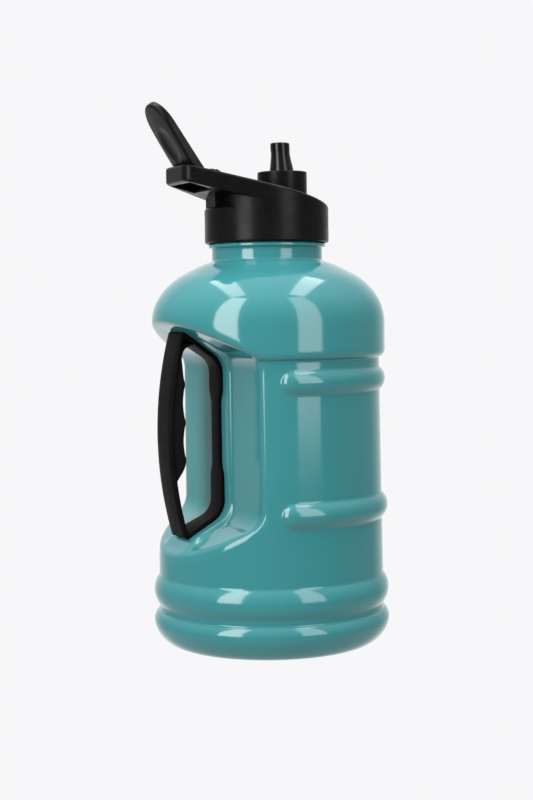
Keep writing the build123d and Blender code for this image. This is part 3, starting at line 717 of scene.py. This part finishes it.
# ---------------------------------------------------------------- stage and lights
BACKDROP = 0.93              # how bright the pale floor and backdrop look
BACKDROP_COLOUR = (0.998, 0.998, 1.015, 1)
FLOOR_Z, FLOOR_R, COVE_R, BACKDROP_H = -0.0005, 1.6, 1.0, 4.0    # metres
STAGE_COLUMNS = 96
STRIP_TURN = 40.0            # degrees of the strip lights either side of the camera
STRIP_AWAY, STRIP_WIDE, STRIP_TALL = 1.0, 0.42, 1.72             # metres
STRIP_BRIGHT = {"left": 8.8, "right": 4.5}     # how strongly they glow
STRIP_FADE = 0.13            # height over which their lower ends fade in
OVER_Z, OVER_SIDE, OVER_WIDE, OVER_LONG, OVER_BACK = 1.8, 0.69, 0.4, 1.45, 0.08
OVER_BRIGHT = 7.5
# the sky's brightness at shares of the way from front to back, added to that from below to above
SKY_TURNS = ((0.25, 0.06), (0.5, 0.28), (0.8, 0.30), (1.0, 0.5))
SKY_HEIGHTS = ((0.0, 0.55), (0.30, 0.42), (0.42, 0.03), (0.58, 0.05), (0.78, 0.42), (1.0, 0.5))


def glowing(mesh, name, strength):
    """Gives the mesh a material that only glows; returns its node tree and its glow."""
    material = bpy.data.materials.new(name)
    material.use_nodes = True
    tree = material.node_tree
    tree.nodes.clear()
    glow = tree.nodes.new("ShaderNodeEmission")
    glow.inputs["Strength"].default_value = strength
    result = tree.nodes.new("ShaderNodeOutputMaterial")
    tree.links.new(glow.outputs["Emission"], result.inputs["Surface"])
    mesh.materials.append(material)
    return tree, glow


def make_stage():
    """A pale round floor that curves up into a backdrop all round."""
    profile = [(0.4, FLOOR_Z), (0.9, FLOOR_Z), (FLOOR_R, FLOOR_Z)]
    for k in range(1, 11):
        bend = math.radians(9 * k)
        profile.append((FLOOR_R + COVE_R * math.sin(bend), COVE_R - COVE_R * math.cos(bend)))
    profile += [(FLOOR_R + COVE_R, BACKDROP_H / 2), (FLOOR_R + COVE_R, BACKDROP_H)]
    turns = [2 * math.pi * k / STAGE_COLUMNS for k in range(STAGE_COLUMNS)]
    mesh = bpy.data.meshes.new("stage")
    work = bmesh.new()
    rings = [
        [work.verts.new((radius * math.cos(turn), radius * math.sin(turn), z)) for turn in turns]
        for radius, z in profile
    ]
    work.faces.new(rings[0])
    for below, above in zip(rings, rings[1:]):
        for k in range(STAGE_COLUMNS):
            after = (k + 1) % STAGE_COLUMNS
            work.faces.new((below[k], below[after], above[after], above[k]))
    work.to_mesh(mesh)
    work.free()
    for face in mesh.polygons:
        face.use_smooth = True
    stage = bpy.data.objects.new("stage", mesh)
    bpy.context.scene.collection.objects.link(stage)
    glow = glowing(mesh, "pale_stage", BACKDROP)[1]
    glow.inputs["Color"].default_value = BACKDROP_COLOUR
    # it only shows behind the jug; the sky below lights the jug instead
    stage.visible_diffuse = False
    stage.visible_glossy = False
    stage.visible_transmission = False
    stage.visible_shadow = False


def make_sky():
    """Soft light from all round: dim on the camera's side and bright behind the jug."""
    world = bpy.data.worlds.new("sky")
    world.use_nodes = True
    tree = world.node_tree
    where = tree.nodes.new("ShaderNodeTexCoord")
    dot = tree.nodes.new("ShaderNodeVectorMath")
    dot.operation = "DOT_PRODUCT"
    dot.inputs[1].default_value = -toward_camera()
    tree.links.new(where.outputs["Generated"], dot.inputs[0])
    split = tree.nodes.new("ShaderNodeSeparateXYZ")
    tree.links.new(where.outputs["Generated"], split.inputs["Vector"])
    total = tree.nodes.new("ShaderNodeVectorMath")
    for k, (source, table) in enumerate(
        ((dot.outputs["Value"], SKY_TURNS), (split.outputs["Z"], SKY_HEIGHTS))
    ):
        spread = tree.nodes.new("ShaderNodeMapRange")
        spread.inputs["From Min"].default_value = -1.0
        tree.links.new(source, spread.inputs["Value"])
        ramp = tree.nodes.new("ShaderNodeValToRGB")
        stops = ramp.color_ramp.elements
        stops.remove(stops[0])
        for position, value in table:
            stop = stops.new(position)
            stop.color = (value, value, value, 1)
        stops.remove(stops[-1])
        tree.links.new(spread.outputs["Result"], ramp.inputs["Fac"])
        tree.links.new(ramp.outputs["Color"], total.inputs[k])
    tree.links.new(total.outputs["Vector"], tree.nodes["Background"].inputs["Color"])
    bpy.context.scene.world = world


def make_softbox(name, matrix, width, height, bright, fade=0.0):
    """A flat glowing panel, centred on the matrix and facing its -Z; its lower end can fade in."""
    mesh = bpy.data.meshes.new(name)
    work = bmesh.new()
    corners = [
        work.verts.new((x * width / 2, y * height / 2, 0))
        for x, y in ((-1, -1), (-1, 1), (1, 1), (1, -1))
    ]
    work.faces.new(corners)
    work.to_mesh(mesh)
    work.free()
    tree, glow = glowing(mesh, name, bright)
    if fade:
        where = tree.nodes.new("ShaderNodeTexCoord")
        split = tree.nodes.new("ShaderNodeSeparateXYZ")
        tree.links.new(where.outputs["Object"], split.inputs["Vector"])
        rise = tree.nodes.new("ShaderNodeMapRange")
        rise.inputs["From Min"].default_value = -height / 2
        rise.inputs["From Max"].default_value = fade - height / 2
        rise.inputs["To Max"].default_value = bright
        tree.links.new(split.outputs["Y"], rise.inputs["Value"])
        tree.links.new(rise.outputs["Result"], glow.inputs["Strength"])
    box = bpy.data.objects.new(name, mesh)
    bpy.context.scene.collection.objects.link(box)
    box.matrix_world = matrix
    box.visible_camera = False


def make_lights():
    """Two tall strips in front and two long ones overhead."""
    front = toward_camera()
    heading = Matrix.Rotation(math.atan2(front.y, front.x) - math.pi / 2, 4, "Z")
    for side, name in ((-1, "left"), (1, "right")):
        turn = Matrix.Rotation(math.radians(side * STRIP_TURN), 4, "Z")
        place = Matrix.Translation((0, STRIP_AWAY, STRIP_TALL / 2))
        upright = Matrix.Rotation(math.radians(90), 4, "X")
        bright = STRIP_BRIGHT[name]
        matrix = heading @ turn @ place @ upright
        make_softbox("strip_" + name, matrix, STRIP_WIDE, STRIP_TALL, bright, STRIP_FADE)
        above = Matrix.Translation((-side * OVER_SIDE, -OVER_BACK, OVER_Z))
        make_softbox("overhead_" + name, heading @ above, OVER_WIDE, OVER_LONG, OVER_BRIGHT)


# ---------------------------------------------------------------- materials
NOISE_LOW, NOISE_HIGH = 0.3, 0.7       # stretch of the noise that carries a change
ROUGH_FINER = 2.3            # patches of roughness are this much finer than those of colour
NEAR_SAMPLES = 6
SHELTERED, OPEN = 0.25, 0.9  # openness at which the painted corner shade takes away all of the shine, and none of it


def finish_material(
    name, dark, light, rough, grain, bump, mottle, shine=0.5, bevel=0.0, crevice_shade=0.0,
):
    """A moulded plastic: two close colours mottled together, a roughness that varies, fine bumps.

    dark and light are greys or colours, rough is (low, high) and shine the specular level. grain
    and mottle are the number of bumps and of patches to a metre. bump is the bumps' height, bevel
    the radius that edges shade with, and crevice the distance over which a painted shade turns
    the shine down in closed-in corners, all three in metres.
    """
    dark, light = ((tone,) * 3 if isinstance(tone, float) else tone for tone in (dark, light))
    material = bpy.data.materials.new(name)
    material.use_nodes = True
    tree = material.node_tree
    shader = tree.nodes["Principled BSDF"]
    where = tree.nodes.new("ShaderNodeTexCoord")

    def noise(scale, detail):
        node = tree.nodes.new("ShaderNodeTexNoise")
        node.inputs["Scale"].default_value = scale
        node.inputs["Detail"].default_value = detail
        tree.links.new(where.outputs["Object"], node.inputs["Vector"])
        return node.outputs["Fac"]

    ramp = tree.nodes.new("ShaderNodeValToRGB")
    stops = ramp.color_ramp.elements
    stops[0].position, stops[0].color = NOISE_LOW, (*dark, 1)
    stops[1].position, stops[1].color = NOISE_HIGH, (*light, 1)
    tree.links.new(noise(mottle, 4.0), ramp.inputs["Fac"])
    tree.links.new(ramp.outputs["Color"], shader.inputs["Base Color"])

    spread = tree.nodes.new("ShaderNodeMapRange")
    spread.inputs["From Min"].default_value = NOISE_LOW
    spread.inputs["From Max"].default_value = NOISE_HIGH
    spread.inputs["To Min"].default_value = rough[0]
    spread.inputs["To Max"].default_value = rough[1]
    tree.links.new(noise(mottle * ROUGH_FINER, 3.0), spread.inputs["Value"])
    tree.links.new(spread.outputs["Result"], shader.inputs["Roughness"])

    raised = tree.nodes.new("ShaderNodeBump")
    raised.inputs["Strength"].default_value = 1.0
    raised.inputs["Distance"].default_value = bump
    tree.links.new(noise(grain, 2.0), raised.inputs["Height"])
    if bevel:
        soft = tree.nodes.new("ShaderNodeBevel")
        soft.samples = NEAR_SAMPLES
        soft.inputs["Radius"].default_value = bevel
        tree.links.new(soft.outputs["Normal"], raised.inputs["Normal"])
    tree.links.new(raised.outputs["Normal"], shader.inputs["Normal"])
    shader.inputs["Specular IOR Level"].default_value = shine
    # painted shade: ambient occlusion turns the shine down in closed-in corners, darkening them
    # where shade falls
    if crevice_shade:
        corner_shade = tree.nodes.new("ShaderNodeAmbientOcclusion")
        corner_shade.samples = NEAR_SAMPLES
        corner_shade.inputs["Distance"].default_value = crevice_shade
        level = tree.nodes.new("ShaderNodeMapRange")
        level.inputs["From Min"].default_value = SHELTERED
        level.inputs["From Max"].default_value = OPEN
        level.inputs["To Max"].default_value = shine
        tree.links.new(corner_shade.outputs["AO"], level.inputs["Value"])
        tree.links.new(level.outputs["Result"], shader.inputs["Specular IOR Level"])
    return material


make_camera()
make_stage()
make_sky()
make_lights()
bpy.context.scene.view_settings.view_transform = "Standard"

bottle_teal = finish_material(
    "bottle_teal", (0.034, 0.196, 0.209), (0.039, 0.214, 0.227), (0.07, 0.12), 900, 4e-6, 9,
)
cap_black = finish_material(
    "cap_black", (0.0036, 0.0036, 0.0035), (0.0052, 0.0052, 0.0050), (0.26, 0.36), 3200, 1.2e-5, 60,
    shine=0.10, bevel=0.0005, crevice_shade=0.014,
)
grip_black = finish_material(
    "grip_black", (0.0032, 0.0032, 0.0031), (0.0048, 0.0048, 0.0046), (0.42, 0.55), 2800, 1.2e-5,
    50, shine=0.035, crevice_shade=0.02,
)
pad_black = finish_material(
    "pad_black", 0.003, 0.0045, (0.45, 0.6), 3600, 2e-5, 70, shine=0.06,
)
spout_black = finish_material(
    "spout_black", 0.0034, 0.0048, (0.14, 0.22), 1500, 5e-6, 80, shine=0.25,
)
silicone = finish_material(
    "silicone", (0.42, 0.43, 0.43), (0.50, 0.51, 0.51), (0.45, 0.6), 2600, 1.2e-5, 90,
)
pin_black = finish_material(
    "pin_black", 0.010, 0.016, (0.25, 0.35), 3000, 5e-6, 120,
)

# pieces that are seen as the CAD makes them
NODE_MATERIALS = {
    "cap_shell": cap_black,
    "hinge_pin": pin_black,
    "cap_gasket": silicone,
    "spout_collar": cap_black,
    "spout_retainer": cap_black,
    "cover_seal": silicone,
}
for name, material in NODE_MATERIALS.items():
    nodes[name].data.materials.clear()
    nodes[name].data.materials.append(material)
make_bottle(bottle_teal)
make_grip(grip_black)
make_pad(pad_black)
make_cover(cap_black)
make_spout(spout_black)
make_vent(spout_black)
